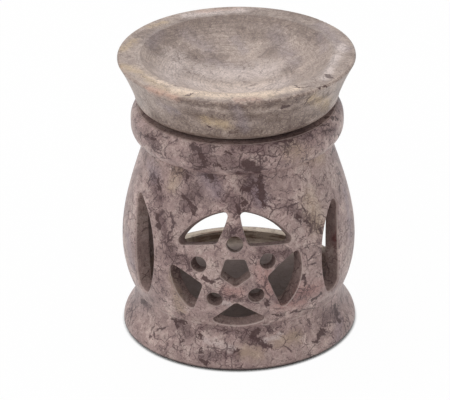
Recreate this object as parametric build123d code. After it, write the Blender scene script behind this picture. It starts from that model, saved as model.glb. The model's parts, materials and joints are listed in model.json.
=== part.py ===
from build123d import *
import os
from math import atan, cos, degrees, radians, sin, tan

# Turned and pierced soapstone oil burner: a hollow body with a tea-light chamber, and a loose oil dish.
# Millimetres. The axis of turning is Z, the base stands on Z = 0, and the pierced star faces -Y.

# Round blank that the body and the dish are both turned from
blank_radius = 40.2

# Body, outside: depths of cut into the blank, and heights stacked from the base up
foot_edge_bevel = 0.8
foot_swell_height = 5.6
waist_cut = 4.4
waist_height = 14.6
belly_cut = 0.3
waist_to_belly = 17.9
shoulder_cut = 3.4
belly_to_shoulder = 19.5
neck_cut = 9.0
shoulder_to_neck = 17.8
collar_cut = 4.2
neck_to_collar = 5.2
collar_band_height = 2.0
ledge_cut = 5.8
collar_to_ledge = 4.6
ledge_bevel = 0.5

waist_radius = blank_radius - waist_cut
belly_radius = blank_radius - belly_cut
shoulder_radius = blank_radius - shoulder_cut
neck_radius = blank_radius - neck_cut
collar_radius = blank_radius - collar_cut
ledge_radius = blank_radius - ledge_cut
belly_height = waist_height + waist_to_belly
shoulder_height = belly_height + belly_to_shoulder
neck_height = shoulder_height + shoulder_to_neck
collar_round_height = neck_height + neck_to_collar
collar_taper_height = collar_round_height + collar_band_height
ledge_height = collar_taper_height + collar_to_ledge

# Body, inside
floor_below_waist = 2.3
floor_corner_radius = 2.0
foot_wall = 3.6
belly_wall = 5.3
shoulder_wall = 5.6
chamber_above_shoulder = 4.0
ledge_width = 8.8
mouth_depth = 9.0

floor_height = waist_height - floor_below_waist
chamber_floor_radius = waist_radius - foot_wall
chamber_radius = belly_radius - belly_wall
chamber_shoulder_radius = shoulder_radius - shoulder_wall
chamber_shoulder_height = shoulder_height + chamber_above_shoulder
mouth_radius = ledge_radius - ledge_width

# Rear doorway for the tea light, between two cheeks of stone
door_cheek = 9.4
sill_above_waist = 1.6
door_side_height = 17.8
door_arch_rise = 22.0
door_corner_radius = 1.5

door_half_width = belly_radius - door_cheek
sill_height = waist_height + sill_above_waist
door_spring_height = sill_height + door_side_height

# Five-pointed star in a ring, laid out on the belly as on a sheet wrapped round it and a little uneven
star_above_belly = 4.5
star_half_width = 23.9
ring_above_waist = 0.6
point_angles = [90.7, 170.2, 234.4, 309.4, 378.0]
point_widths = [4.0, 6.4, 6.4, 5.6, 2.4]
valley_angles = [123.0, 203.6, 270.0, 349.4, 423.5]
valley_radii = [12.2, 12.2, 10.9, 10.9, 10.7]
first_side_bows = [0.5, 0.8, 0.1, 0.1, 0.1]
last_side_bows = [0.1, 0.1, 0.4, 0.8, 0.5]
valley_corner_radius = 1.5
gap_corner_radius = 2.1
eye_radii = [10.3, 13.0, 12.6, 11.1, 11.8]
eye_diameter = 5.6
pentagon_radius = 5.7
pentagon_lift = 0.4
pentagon_corner_radius = 1.2

star_height = belly_height + star_above_belly
star_half_height = belly_radius * atan((star_height - waist_height - ring_above_waist) / waist_radius)

# Crescent moons on the same sheet, left and then right of the star
moon_offsets = [-37.7, 39.3]
moon_above_belly = 3.7
moon_fronts = [6.8, 7.0]
moon_backs = [4.0, 2.4]
moon_top_reaches = [20.4, 19.7]
moon_top_horns = [11.6, 10.8]
moon_top_tip_radii = [2.2, 2.4]
moon_bottom_reaches = [19.2, 20.8]
moon_bottom_horns = [4.9, 8.2]
moon_bottom_tip_radii = [3.0, 3.5]

moon_height = belly_height + moon_above_belly

# Softened outer edge of every opening, and how far the cuts reach from the axis
opening_edge_radius = 0.4
cut_inner_reach = chamber_radius / 2
cut_outer_reach = belly_radius + belly_wall

# Oil dish: depths of cut into the same blank, and heights stacked from the body's ledge up
seat_width = 3.4
side_cut = 5.6
ledge_to_side = 5.1
underside_rise = 2.0
flare_cut = 3.7
side_to_flare = 5.0
rim_cut = 0.2
flare_to_rim = 8.0
rim_width = 7.7
rim_edge_radius = 0.8
bowl_depth = 12.0
spigot_height = 2.6
spigot_clearance = 0.35
spigot_bevel = 0.5

seat_radius = mouth_radius + seat_width
side_radius = blank_radius - side_cut
flare_radius = blank_radius - flare_cut
rim_radius = blank_radius - rim_cut
side_height = ledge_height + ledge_to_side
flare_height = side_height + side_to_flare
rim_height = flare_height + flare_to_rim
bowl_radius = rim_radius - rim_width
spigot_radius = mouth_radius - spigot_clearance
spigot_bottom = ledge_height - spigot_height


def body_outline():
    """Closed half section of the turned body without its hollow."""
    foot = (blank_radius, foot_edge_bevel)
    waist = (waist_radius, waist_height)
    belly = (belly_radius, belly_height)
    shoulder = (shoulder_radius, shoulder_height)
    neck = (neck_radius, neck_height)
    collar_round = (collar_radius, collar_round_height)
    collar_taper = (collar_radius, collar_taper_height)
    ledge = (ledge_radius, ledge_height - ledge_bevel)
    with BuildLine(Plane.XZ) as line:
        Polyline((0, 0), (blank_radius - foot_edge_bevel, 0), foot)
        Bezier(foot, (blank_radius, foot_swell_height), (waist_radius, foot_swell_height), waist)
        Spline(waist, belly, shoulder, neck)
        TangentArc(collar_round, neck, tangent=(0, -1))
        Line(collar_round, collar_taper)
        TangentArc(collar_taper, ledge, tangent=(0, 1))
        Polyline(ledge, (ledge_radius - ledge_bevel, ledge_height), (0, ledge_height), (0, 0))
    return make_face(line.line)


def chamber_outline():
    """Closed half section of the hollow: tea-light chamber, shoulder and the mouth under the dish."""
    floor_edge = (chamber_floor_radius - floor_corner_radius, floor_height)
    wall_foot = (chamber_floor_radius, floor_height + floor_corner_radius)
    belly = (chamber_radius, belly_height)
    shoulder = (chamber_shoulder_radius, chamber_shoulder_height)
    with BuildLine(Plane.XZ) as line:
        Line((0, floor_height), floor_edge)
        TangentArc(floor_edge, wall_foot, tangent=(1, 0))
        TangentArc(belly, wall_foot, tangent=(0, -1))
        TangentArc(belly, shoulder, tangent=(0, 1))
        Polyline(
            shoulder,
            (mouth_radius, ledge_height - mouth_depth),
            (mouth_radius, ledge_height),
            (0, ledge_height),
            (0, floor_height),
        )
    return make_face(line.line)


def on_sheet(u, v, reach):
    """Point of the wrapped sheet, u round the belly and v up, as the axis sees it on a plane at reach."""
    turn = u / belly_radius
    return (reach * tan(turn), reach * tan(v / belly_radius) / cos(turn))


def polar(radius, angle):
    """Point of the sheet at a radius and an angle from the star's centre."""
    return radius * cos(radians(angle)), radius * sin(radians(angle))


def ring_point(angle):
    """Point of the oval ring that the star's points reach to, on the sheet."""
    c, s = polar(1, angle)
    return polar(1 / ((c / star_half_width) ** 2 + (s / star_half_height) ** 2) ** 0.5, angle)


def cutter(outline, azimuth, height):
    """Tapered plug that cuts an outline square through the curved wall, aimed at the axis."""
    out = Vector(0, -1, 0).rotate(Axis.Z, azimuth)
    across = Vector(1, 0, 0).rotate(Axis.Z, azimuth)
    sections = []
    for reach in (cut_inner_reach, cut_outer_reach):
        plane = Plane(out * reach + Vector(0, 0, height), x_dir=across, z_dir=out)
        sections.append(plane * outline(reach))
    return loft(sections, ruled=True)


def gap_cutter(start, end, valley, first_bow, last_bow):
    """One gap between two points of the star: an arc of the ring closed by two slightly bowed sides."""

    def outline(reach):
        scale = reach / belly_radius
        first = on_sheet(*ring_point(start), reach)
        middle = on_sheet(*ring_point((start + end) / 2), reach)
        last = on_sheet(*ring_point(end), reach)
        inner = on_sheet(*valley, reach)
        with BuildSketch() as sketch:
            with BuildLine():
                ThreePointArc(first, middle, last)
                SagittaArc(last, inner, -last_bow * scale)
                SagittaArc(inner, first, -first_bow * scale)
            make_face()
            near_to_far = sketch.vertices().sort_by_distance(inner)
            fillet(near_to_far[0], valley_corner_radius * scale)
            near_to_far = sketch.vertices().sort_by_distance(inner)
            fillet(near_to_far[-2:], gap_corner_radius * scale)
        return sketch.face()

    return cutter(outline, 0, star_height)


def gap_cutters():
    """The five gaps, each from one point's edge round to the next point's edge."""
    half_widths = [degrees(width / 2 / star_half_height) for width in point_widths]
    starts = [angle + half for angle, half in zip(point_angles, half_widths)]
    ends = [angle - half for angle, half in zip(point_angles, half_widths)]
    ends = ends[1:] + [ends[0] + 360]
    valleys = [polar(radius, angle) for radius, angle in zip(valley_radii, valley_angles)]
    return [gap_cutter(*sizes) for sizes in zip(starts, ends, valleys, first_side_bows, last_side_bows)]


def pentagon_cutter():
    """The five-sided opening at the star's centre, with one corner pointing down."""
    corners = [polar(pentagon_radius, corner * 360 / 5 - 90) for corner in range(5)]

    def outline(reach):
        with BuildSketch() as sketch:
            with BuildLine():
                Polyline(*[on_sheet(u, v + pentagon_lift, reach) for u, v in corners], close=True)
            make_face()
            fillet(sketch.vertices(), pentagon_corner_radius * reach / belly_radius)
        return sketch.face()

    return cutter(outline, 0, star_height)


def eye_drills():
    """The small round hole drilled in each point of the star, aimed at the axis."""
    drills = []
    for angle, radius in zip(point_angles, eye_radii):
        x, z = on_sheet(*polar(radius, angle), belly_radius)
        aim = Plane(origin=(0, 0, star_height), z_dir=Vector(x, -belly_radius, z))
        drill = Cylinder(eye_diameter / 2, belly_radius, align=(Align.CENTER, Align.CENTER, Align.MIN))
        drills.append(aim * Pos(0, 0, cut_inner_reach) * drill)
    return drills


def moon_cutter(offset, front, back, upper_horn, lower_horn):
    """A crescent moon, its round back towards the star and its horns away from it."""
    side = 1 if offset > 0 else -1
    top_reach, top_horn, top_tip_radius = upper_horn
    bottom_reach, bottom_horn, bottom_tip_radius = lower_horn

    def outline(reach):
        scale = reach / belly_radius
        top = on_sheet(side * top_horn, top_reach, reach)
        bottom = on_sheet(side * bottom_horn, -bottom_reach, reach)
        with BuildSketch() as sketch:
            with BuildLine():
                ThreePointArc(top, on_sheet(-side * front, 0, reach), bottom)
                ThreePointArc(bottom, on_sheet(side * back, 0, reach), top)
            make_face()
            fillet(sketch.vertices().sort_by(Axis.Y)[-1], top_tip_radius * scale)
            fillet(sketch.vertices().sort_by(Axis.Y)[0], bottom_tip_radius * scale)
        return sketch.face()

    return cutter(outline, degrees(offset / belly_radius), moon_height)


def moon_cutters():
    """Both moons, each with its own hand-cut sizes."""
    upper_horns = zip(moon_top_reaches, moon_top_horns, moon_top_tip_radii)
    lower_horns = zip(moon_bottom_reaches, moon_bottom_horns, moon_bottom_tip_radii)
    moons = zip(moon_offsets, moon_fronts, moon_backs, upper_horns, lower_horns)
    return [moon_cutter(*sizes) for sizes in moons]


def doorway():
    """Wide arched opening sawn straight in at the back, with a sill above the chamber floor."""
    left, right = (-door_half_width, door_spring_height), (door_half_width, door_spring_height)
    with BuildSketch(Plane.XZ) as sketch:
        with BuildLine():
            Polyline(left, (-door_half_width, sill_height), (door_half_width, sill_height), right)
            ThreePointArc(right, (0, door_spring_height + door_arch_rise), left)
        make_face()
        fillet(sketch.vertices().group_by(Axis.Z)[0], door_corner_radius)
    return extrude(sketch.sketch, -cut_outer_reach)


def make_burner_body():
    """The turned and hollowed body, pierced, with the outer edges of its openings softened."""
    blank = revolve(body_outline(), Axis.Z)
    turned = blank - revolve(chamber_outline(), Axis.Z)
    cuts = [doorway(), pentagon_cutter()] + gap_cutters() + eye_drills() + moon_cutters()
    pierced = turned
    for cut in cuts:
        pierced -= cut
    skin = blank.shell()
    rims = [
        edge
        for edge in new_edges(turned, *cuts, combined=pierced)
        if skin.distance_to(Vertex(*(edge @ 0.5))) < opening_edge_radius
    ]
    return fillet(rims, opening_edge_radius)


def make_oil_dish():
    """Shallow dish with a flat rim, and a spigot below that drops into the body's mouth."""
    seat = (seat_radius, ledge_height)
    side = (side_radius, side_height)
    rim_side = (rim_radius, rim_height - rim_edge_radius)
    rim_top = (rim_radius - rim_edge_radius, rim_height)
    bowl_edge = (bowl_radius, rim_height)
    bowl_bottom = (0, rim_height - bowl_depth)
    with BuildLine(Plane.XZ) as line:
        Polyline(
            (0, spigot_bottom),
            (spigot_radius - spigot_bevel, spigot_bottom),
            (spigot_radius, spigot_bottom + spigot_bevel),
            (spigot_radius, ledge_height),
            seat,
        )
        Bezier(seat, (side_radius, ledge_height + underside_rise), side)
        ThreePointArc(side, (flare_radius, flare_height), rim_side)
        TangentArc(rim_side, rim_top, tangent=(0, 1))
        Line(rim_top, bowl_edge)
        TangentArc(bowl_bottom, bowl_edge, tangent=(1, 0))
        Line(bowl_bottom, (0, spigot_bottom))
    return revolve(make_face(line.line), Axis.Z)


if __name__ == "__main__":
    os.makedirs("parts", exist_ok=True)
    export_step(make_burner_body(), "parts/burner_body.step")
    export_step(make_oil_dish(), "parts/oil_dish.step")
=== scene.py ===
"""An oil burner of turned and pierced soapstone with a loose dish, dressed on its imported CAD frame.

The burner body and the dish keep their CAD shapes. Each gets the stone it is turned from, with the
clouds, cracks and stains of that stone, the wax on its skin and the rougher faces that the file and
the chisel left. A pale studio with soft light stands round them.
"""

from __future__ import annotations

import json
import logging
import math
from collections.abc import Callable
from dataclasses import dataclass, field
from enum import Enum
from functools import partial
from typing import Any

import bmesh
import bpy
from mathutils import Matrix, Vector

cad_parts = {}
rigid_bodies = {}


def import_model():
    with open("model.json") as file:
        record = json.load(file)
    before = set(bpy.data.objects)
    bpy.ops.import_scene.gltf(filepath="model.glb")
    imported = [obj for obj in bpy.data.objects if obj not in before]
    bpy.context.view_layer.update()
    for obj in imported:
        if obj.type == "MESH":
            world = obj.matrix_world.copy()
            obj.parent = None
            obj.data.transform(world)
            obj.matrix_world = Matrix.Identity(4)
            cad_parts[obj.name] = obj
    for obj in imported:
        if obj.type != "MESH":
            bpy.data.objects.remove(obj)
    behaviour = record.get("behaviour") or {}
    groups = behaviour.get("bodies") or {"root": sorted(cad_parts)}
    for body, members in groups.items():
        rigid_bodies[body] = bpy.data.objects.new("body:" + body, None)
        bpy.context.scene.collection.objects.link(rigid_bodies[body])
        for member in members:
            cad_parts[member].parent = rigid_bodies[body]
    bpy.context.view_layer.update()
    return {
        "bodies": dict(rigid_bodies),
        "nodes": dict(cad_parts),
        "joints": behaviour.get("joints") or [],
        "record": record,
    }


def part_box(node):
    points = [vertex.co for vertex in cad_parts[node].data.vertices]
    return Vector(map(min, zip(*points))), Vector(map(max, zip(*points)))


MM = 0.001
PER_MM = 1000.0
LOG = logging.getLogger("oil_burner")

Colour = tuple[float, float, float, float]
Point = tuple[float, float, float]
Span = tuple[float, float]  # a first and a last value
Outline = list[tuple[float, float]]  # heights and radii in mm, from low to high
Socket = bpy.types.NodeSocket
Source = bpy.types.Node | Socket  # a node stands for its first output
Tree = bpy.types.NodeTree
# A listed streak: bearing and place of its start, bearing and place of its end, half width.
# The bearing is in degrees from the front. The place is the height on the side and the distance
# from the axis on top, in mm.
Streak = tuple[float, float, float, float, float]

NOISE = "ShaderNodeTexNoise"
VORONOI = "ShaderNodeTexVoronoi"
RANGE = "ShaderNodeMapRange"
MATH = "ShaderNodeMath"
VECTOR = "ShaderNodeVectorMath"
MIX = "ShaderNodeMix"
SMOOTH = {"interpolation_type": "SMOOTHSTEP"}

# The sRGB curve: straight up to the knee, a power above it.
SRGB_KNEE = 0.04045
SRGB_SLOPE = 12.92
SRGB_LIFT = 0.055
SRGB_POWER = 2.4

# How the outline of a solid is read off, and from where rays are sent to it, in mm.
READING_STEP = 0.8
READING_EDGE = 0.1
BESIDE = 200.0
ABOVE = 200.0


def to_linear(hex_colour: str) -> Colour:
    """Turns an sRGB hex colour to the linear colour that the shader takes.

    Args:
        hex_colour: the colour as "#rrggbb".

    Returns:
        Linear red, green, blue and an alpha of 1.
    """
    channels = [int(hex_colour[i : i + 2], 16) / 255 for i in (1, 3, 5)]
    red, green, blue = (
        c / SRGB_SLOPE if c <= SRGB_KNEE else ((c + SRGB_LIFT) / (1 + SRGB_LIFT)) ** SRGB_POWER
        for c in channels
    )
    return red, green, blue, 1.0


def add_node(
    tree: Tree, kind: str, inputs: dict[Any, Any] | None = None, **settings: Any
) -> bpy.types.Node:
    """Adds one node with its settings, its input values and its links.

    Args:
        tree: the node tree that gets it.
        kind: Blender's type name of the node.
        inputs: values by input name or number. A socket is linked, and so is a node, by its
            first output. Anything else is set.
        **settings: properties of the node by name.

    Returns:
        The new node.
    """
    node = tree.nodes.new(kind)
    for name, value in settings.items():
        setattr(node, name, value)
    for key, value in (inputs or {}).items():
        if isinstance(value, bpy.types.Node):
            value = value.outputs[0]
        if isinstance(value, Socket):
            tree.links.new(value, node.inputs[key])
        else:
            node.inputs[key].default_value = value
    return node


def between(levels: Span, values: Span = (0.0, 1.0)) -> dict[str, float]:
    """Returns levels, and the values that they are turned to, under the names of node inputs."""
    names = ("From Min", "From Max", "To Min", "To Max")
    return dict(zip(names, levels + values))


class MarkKind(Enum):
    """What one listed mark in the stone is."""

    # Also painted shade: in the waist crease, on the ledge under the dish and on the back wall of the
    # bowl.
    DUSK = "zone where the stone is darker and full of cracks"
    BLUSH = "pink iron tint"
    OCHRE = "yellow iron tint"
    LILAC = "cool grey-lilac cloud"
    RUST = "red-brown iron patch"
    # On the dish it is partly pale stone and partly a painted highlight on the front of the rim and a
    # painted sheen on the front of the bowl.
    CREAM = "pale cream cloud"
    MILK = "milky grey-pink cloud"
    # Painted light: the inner wall below the doorway's sill, where light falls through the doorway,
    # painted as pale bare stone.
    TAN = "bare tan stone on a cut face"
    STAIN = "dark mineral patch with a ragged edge"
    VEIN = "dark crack filled with iron"
    # The rubbed lines also carry a painted highlight.
    WORN = "pale line where an edge is rubbed"


Streaks = dict[MarkKind, tuple[Streak, ...]]

# How much of each tint shows where it is densest: in the stone, and on top of its cut faces.
TINTS: dict[MarkKind, float] = {
    MarkKind.LILAC: 0.4,
    MarkKind.OCHRE: 0.45,
    MarkKind.BLUSH: 0.5,
    MarkKind.CREAM: 0.9,
    MarkKind.MILK: 0.8,
}
# The tan tint is painted light on the wall below the doorway's sill.
CUT_TINTS: dict[MarkKind, float] = {MarkKind.RUST: 0.95, MarkKind.TAN: 0.95}


@dataclass(frozen=True)
class Mark:
    """A mark in the stone that runs from one point to another, in mm in the object's own frame."""

    kind: MarkKind
    start: Point
    end: Point
    radius: float


@dataclass(frozen=True)
class Grain:
    """A random pattern: its size in mm, how many times it gets finer, and how strong that shows."""

    size: float
    detail: float
    roughness: float

    def over(self, point: Source, unit: float = 1.0) -> dict[str, Any]:
        """Gives the node inputs that lay the pattern over a point.

        Args:
            point: the point in mm.
            unit: mm that a size of 1 stands for.

        Returns:
            The inputs by name.
        """
        scale = 1 / (self.size * unit)
        return {
            "Vector": point, "Scale": scale, "Detail": self.detail, "Roughness": self.roughness
        }


@dataclass(frozen=True)
class Crackle:
    """A network of healed cracks, in mm. It shows where its pattern is above the threshold."""

    cell: float
    width: float
    threshold: float
    strength: float


@dataclass(frozen=True)
class Soapstone:
    """Soapstone, turned, rubbed with wet paper and waxed.

    To the eye that is a soft satin stone, cloudy and crossed by dark cracks, whose gloss shows only
    at a flat angle, and dull darker faces where a file or a chisel left it.
    """

    name: str
    pale: str
    middle: str
    deep: str
    # dark zones of the stone, and the painted shade
    dusk_and_shade: str
    vein: str
    stain: str
    # rubbed rims, with a painted highlight on them
    worn_and_highlight: str
    cut: str
    inside: str
    ring: str
    tints: dict[MarkKind, str]
    cut_share: float  # how far the cut faces go to their own colour
    inside_share: float  # how far the unwaxed inner faces go to theirs
    worn_and_highlight_share: float  # how pale the softened rims are: wear, with a painted highlight on them
    ring_share: float  # how strongly the turned rings show
    ring_from: float  # height in mm above which they lie
    bends: Grain  # bends the clouds
    clouds: Grain
    mottle: Grain
    rings: Grain
    fragment_mm: float
    fragment_tone: float  # how far one fragment differs in tone from the next
    crackles: tuple[Crackle, ...]
    flake_threshold: float  # above it the stone has dark flakes
    skin_roughness: float
    cut_roughness: float
    painted_foot_shade: str | None = None  # painted shade along the lowest edge, on the piece that stands on the floor
    painted_foot_shade_height: float = 1.6  # how far up it reaches, in mm
    ior: float = 1.55  # talc lies between 1.54 and 1.59
    specular_level: float = 0.25  # half of a closed surface's, as the open grain swallows light


@dataclass(frozen=True)
class StonePattern:
    """How the patterns of both stones are drawn. Lengths in mm, shares from 0 to 1.

    Levels are values of a random pattern, most of which lie between 0.3 and 0.7. Depths are
    measured inwards from the turned skin. Of two levels, depths or heights, the first is where a
    thing sets in and the second where it is full. Tones are factors on the brightness.
    """

    # Bends and frayed edges.
    crumbs: Grain = Grain(1.8, 2.0, 0.6)
    fray: float = 1.8  # how far the crumbs move an edge, to either side
    bend: float = 6.0  # how far a cloud is bent, to either side
    crease_share: float = 0.4  # how much of both the cracks follow
    # Cut faces, inner faces and the softened rims between, pale with wear and a painted highlight.
    cut_depth: Span = (0.5, 1.2)
    inside_depth: Span = (5.0, 6.0)
    rim_depth: Span = (0.08, 0.3)
    rim_end_depth: Span = (0.8, 0.4)
    worn_and_highlight_mark_share: float = 0.6
    # Dark zones of the stone, and painted shade where the marks put it.
    zones: Grain = Grain(17.0, 2.0, 0.5)
    zone_levels: Span = (0.5, 0.66)
    zone_back: Span = (-16.0, 2.0)  # place from front to back, from which they are left to chance
    dusk_levels: Span = (0.62, 0.38)
    dusk_shares: Span = (0.6, 1.0)
    dusk_share: float = 0.85
    # Clouds and tints.
    mottle_share: float = 0.6
    cloud_levels: tuple[float, float, float] = (0.36, 0.5, 0.62)  # of deep, middle and pale
    patches: Grain = Grain(3.5, 4.0, 0.7)
    patch_levels: Span = (0.25, 0.48)
    # Shards are the smaller of the two sets of fragments.
    shard_ratio: float = 2.6
    shard_tone: float = 0.6
    # Cracks. Sizes of their two patterns are in cells of the network.
    swell: Grain = Grain(0.6, 3.0, 0.6)
    swell_levels: Span = (0.4, 0.66)
    thin_share: float = 0.25  # width of a crack where it is thinnest
    core_share: float = 0.3  # share of its width that is full dark
    stretches: Grain = Grain(1.7, 3.0, 0.6)
    crack_lift: float = 0.17  # how many more show in a dark zone
    crack_fade: float = 0.12
    # Flakes and stains.
    flakes: Grain = Grain(2.6, 6.0, 0.72)
    flake_lift: float = 0.11  # how many more show in a dark zone
    flake_fade: float = 0.09
    flake_share: float = 0.75
    stain_tear: float = 3.2  # how much the flakes tear the edge of a stain
    stain_levels: Span = (1.95, 2.3)
    stain_share: float = 0.92
    # Grains of talc, drawn 0.45 mm across, the finest that still shows, and dark specks.
    grains: Grain = Grain(0.45, 2.0, 0.8)
    grain_levels: Span = (0.3, 0.7)
    grain_tones: Span = (0.8, 1.18)
    specks: Grain = Grain(0.8, 2.0, 0.6)
    speck_levels: Span = (0.63, 0.7)
    speck_share: float = 0.6
    # Scratches of the file, which run up and down.
    scratches: Grain = Grain(1.0, 3.0, 0.7)
    scratches_per_mm: Point = (1.8, 1.8, 0.35)
    scratch_levels: Span = (0.3, 0.7)
    scratch_tones: Span = (0.82, 1.15)
    # Turned rings, also on the thin wall below the doorway's sill.
    ring_waver: float = 0.06
    ring_levels: Span = (0.46, 0.56)
    ring_start: float = 0.5
    worn_off: Grain = Grain(9.0, 3.0, 0.5)
    worn_off_levels: Span = (0.36, 0.56)
    low_wall_height: Span = (17.0, 16.6)
    low_wall_depth: Span = (2.6, 3.0)
    # Painted shade along the lowest edge of the foot, where it meets the floor.
    painted_foot_shade_full: float = 0.4  # share of its height up to which it is dense
    painted_foot_shade_share: float = 0.95
    # Relief and gloss.
    pits: Grain = Grain(0.7, 4.0, 0.7)
    crack_relief: float = -0.35  # a crack lies lower, as a share of the pits
    skin_relief: float = 0.12
    cut_relief: float = 0.3
    relief_share: float = 0.6
    pit_dullness: float = 0.14


def streak_group() -> Tree:
    """Makes the node group that masks one streak: 1 on the line from start to end, 0 a radius away.

    Returns:
        The node group, made once and shared by both stones.
    """
    name = "streak_in_the_stone"
    if name in bpy.data.node_groups:
        return bpy.data.node_groups[name]
    tree = bpy.data.node_groups.new(name, "ShaderNodeTree")
    for label in ("Point", "Start", "End"):
        tree.interface.new_socket(name=label, in_out="INPUT", socket_type="NodeSocketVector")
    tree.interface.new_socket(name="Radius", in_out="INPUT", socket_type="NodeSocketFloat")
    tree.interface.new_socket(name="Mask", in_out="OUTPUT", socket_type="NodeSocketFloat")
    given = add_node(tree, "NodeGroupInput").outputs
    to_point = add_node(tree, VECTOR, {0: given["Point"], 1: given["Start"]}, operation="SUBTRACT")
    line = add_node(tree, VECTOR, {0: given["End"], 1: given["Start"]}, operation="SUBTRACT")
    along = add_node(tree, VECTOR, {0: to_point, 1: line}, operation="DOT_PRODUCT").outputs["Value"]
    whole = add_node(tree, VECTOR, {0: line, 1: line}, operation="DOT_PRODUCT").outputs["Value"]
    share = add_node(tree, MATH, {0: along, 1: whole}, operation="DIVIDE")
    # Kept from 0 to 1 by two plain nodes. With the clamp option, the renderer's room for node
    # values runs out before all streaks are in.
    share = add_node(tree, MATH, {0: share, 1: 0.0}, operation="MAXIMUM")
    share = add_node(tree, MATH, {0: share, 1: 1.0}, operation="MINIMUM")
    nearest = add_node(tree, VECTOR, {0: line, "Scale": share}, operation="SCALE")
    off_line = add_node(
        tree, VECTOR, {0: to_point, 1: nearest}, operation="DISTANCE"
    ).outputs["Value"]
    fade = {"Value": off_line, "From Min": given["Radius"], "From Max": 0.0}
    mask = add_node(tree, RANGE, fade, **SMOOTH)
    add_node(tree, "NodeGroupOutput", {"Mask": mask})
    return tree


@dataclass
class StoneSurface:
    """Builds the nodes of one stone on one turned piece. Lengths in mm."""

    stone: Soapstone
    outline: Outline  # of the turned skin, read off the CAD solid
    marks: list[Mark]
    seed: float  # moves the patterns, so that the two pieces aren't cut from one place
    pattern: StonePattern = StonePattern()
    reach: float = 45.0  # a radius beyond the widest skin
    # What the methods below work out in turn.
    tree: Tree = field(init=False)
    point: Source = field(init=False)
    moved: Source = field(init=False)
    bent: Source = field(init=False)
    creased: Source = field(init=False)
    ragged: Source = field(init=False)
    height: Source = field(init=False)
    away: Source = field(init=False)
    radius: Source = field(init=False)
    depth: Source = field(init=False)
    cut: Source = field(init=False)
    inside: Source = field(init=False)
    dusk_and_shade: Source = field(init=False)

    def make(self) -> bpy.types.Material:
        """Builds the whole material, from the clouds in the stone to the wax on its skin.

        Returns:
            The material, ready for the piece's slot.
        """
        material = bpy.data.materials.new(self.stone.name)
        material.use_nodes = True
        self.tree = material.node_tree
        self.tree.nodes.clear()
        self._place()
        self._measure_depth()
        self._find_dusk_and_shade()
        colour = self._clouds()
        colour = self._fragments(colour)
        for kind, strength in TINTS.items():
            colour = self._tint(colour, kind, strength)
        cracks = self._cracks()
        colour = self._lay(colour, self.stone.vein, cracks, 1.0)
        colour = self._flakes(colour)
        colour = self._grain(colour)
        colour = self._cut_faces(colour)
        for kind, strength in CUT_TINTS.items():
            colour = self._tint(colour, kind, strength, self.cut)
        colour = self._turned_rings(colour)
        colour = self._rubbed_and_highlit_edges(colour)
        # Painted shade along the lowest edge of the foot.
        if self.stone.painted_foot_shade is not None:
            colour = self._paint_foot_shade(colour, self.stone.painted_foot_shade)
        self._shade(colour, cracks)
        return material

    def _lay(self, colour: Source, hex_colour: str, mask: Source, strength: float) -> Source:
        """Lays a plain colour over the stone where a mask asks for it.

        Args:
            colour: the stone's colour so far.
            hex_colour: the colour laid over it.
            mask: where it lies, from 0 to 1.
            strength: how much of it shows at most.

        Returns:
            The new colour.
        """
        tree = self.tree
        share = add_node(tree, MATH, {0: mask, 1: strength}, operation="MULTIPLY")
        both = {0: share, 6: colour, 7: to_linear(hex_colour)}
        return add_node(tree, MIX, both, data_type="RGBA").outputs[2]

    def _place(self) -> None:
        """Takes the point in mm and its copies for the patterns.

        One is moved by the seed, one bent for clouds, one creased for cracks, one ragged for marks.
        """
        tree, pattern = self.tree, self.pattern
        place = add_node(tree, "ShaderNodeTexCoord").outputs["Object"]
        self.point = add_node(tree, VECTOR, {0: place, "Scale": PER_MM}, operation="SCALE")
        shift = (self.seed, -self.seed, 2 * self.seed)
        self.moved = add_node(tree, VECTOR, {0: self.point, 1: shift}, operation="ADD")
        bends = add_node(tree, NOISE, self.stone.bends.over(self.moved)).outputs["Color"]
        crumbs = add_node(tree, NOISE, pattern.crumbs.over(self.moved)).outputs["Color"]
        whole, half = (2 * pattern.bend,) * 3, (-pattern.bend,) * 3
        wide = add_node(tree, VECTOR, {0: bends, 1: whole, 2: half}, operation="MULTIPLY_ADD")
        whole, half = (2 * pattern.fray,) * 3, (-pattern.fray,) * 3
        fine = add_node(tree, VECTOR, {0: crumbs, 1: whole, 2: half}, operation="MULTIPLY_ADD")
        both = add_node(tree, VECTOR, {0: wide, 1: fine}, operation="ADD")
        self.bent = add_node(tree, VECTOR, {0: self.moved, 1: both}, operation="ADD")
        part = (pattern.crease_share,) * 3
        self.creased = add_node(
            tree, VECTOR, {0: both, 1: part, 2: self.moved}, operation="MULTIPLY_ADD"
        )
        self.ragged = add_node(tree, VECTOR, {0: self.point, 1: fine}, operation="ADD")

    def _measure_depth(self) -> None:
        """Works out how far under the turned skin a point lies, and so where the tools cut."""
        tree, pattern = self.tree, self.pattern
        across, self.away, self.height = add_node(
            tree, "ShaderNodeSeparateXYZ", {0: self.point}
        ).outputs
        flat = add_node(tree, "ShaderNodeCombineXYZ", {0: across, 1: self.away})
        self.radius = add_node(tree, VECTOR, {0: flat}, operation="LENGTH").outputs["Value"]
        top = self.outline[-1][0]
        share = add_node(tree, MATH, {0: self.height, 1: top}, operation="DIVIDE")
        curve = add_node(tree, "ShaderNodeFloatCurve", {"Value": share})
        line = curve.mapping.curves[0]
        while len(line.points) < len(self.outline):
            line.points.new(0.5, 0.5)
        for point, (height, radius) in zip(line.points, self.outline):
            point.location = (height / top, radius / self.reach)
            point.handle_type = "VECTOR"
        curve.mapping.update()
        skin = add_node(tree, MATH, {0: curve, 1: self.reach}, operation="MULTIPLY")
        self.depth = add_node(tree, MATH, {0: skin, 1: self.radius}, operation="SUBTRACT")
        self.cut = add_node(
            tree, RANGE, {"Value": self.depth, **between(pattern.cut_depth)}, **SMOOTH
        )
        self.inside = add_node(
            tree, RANGE, {"Value": self.depth, **between(pattern.inside_depth)}, **SMOOTH
        )

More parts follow.
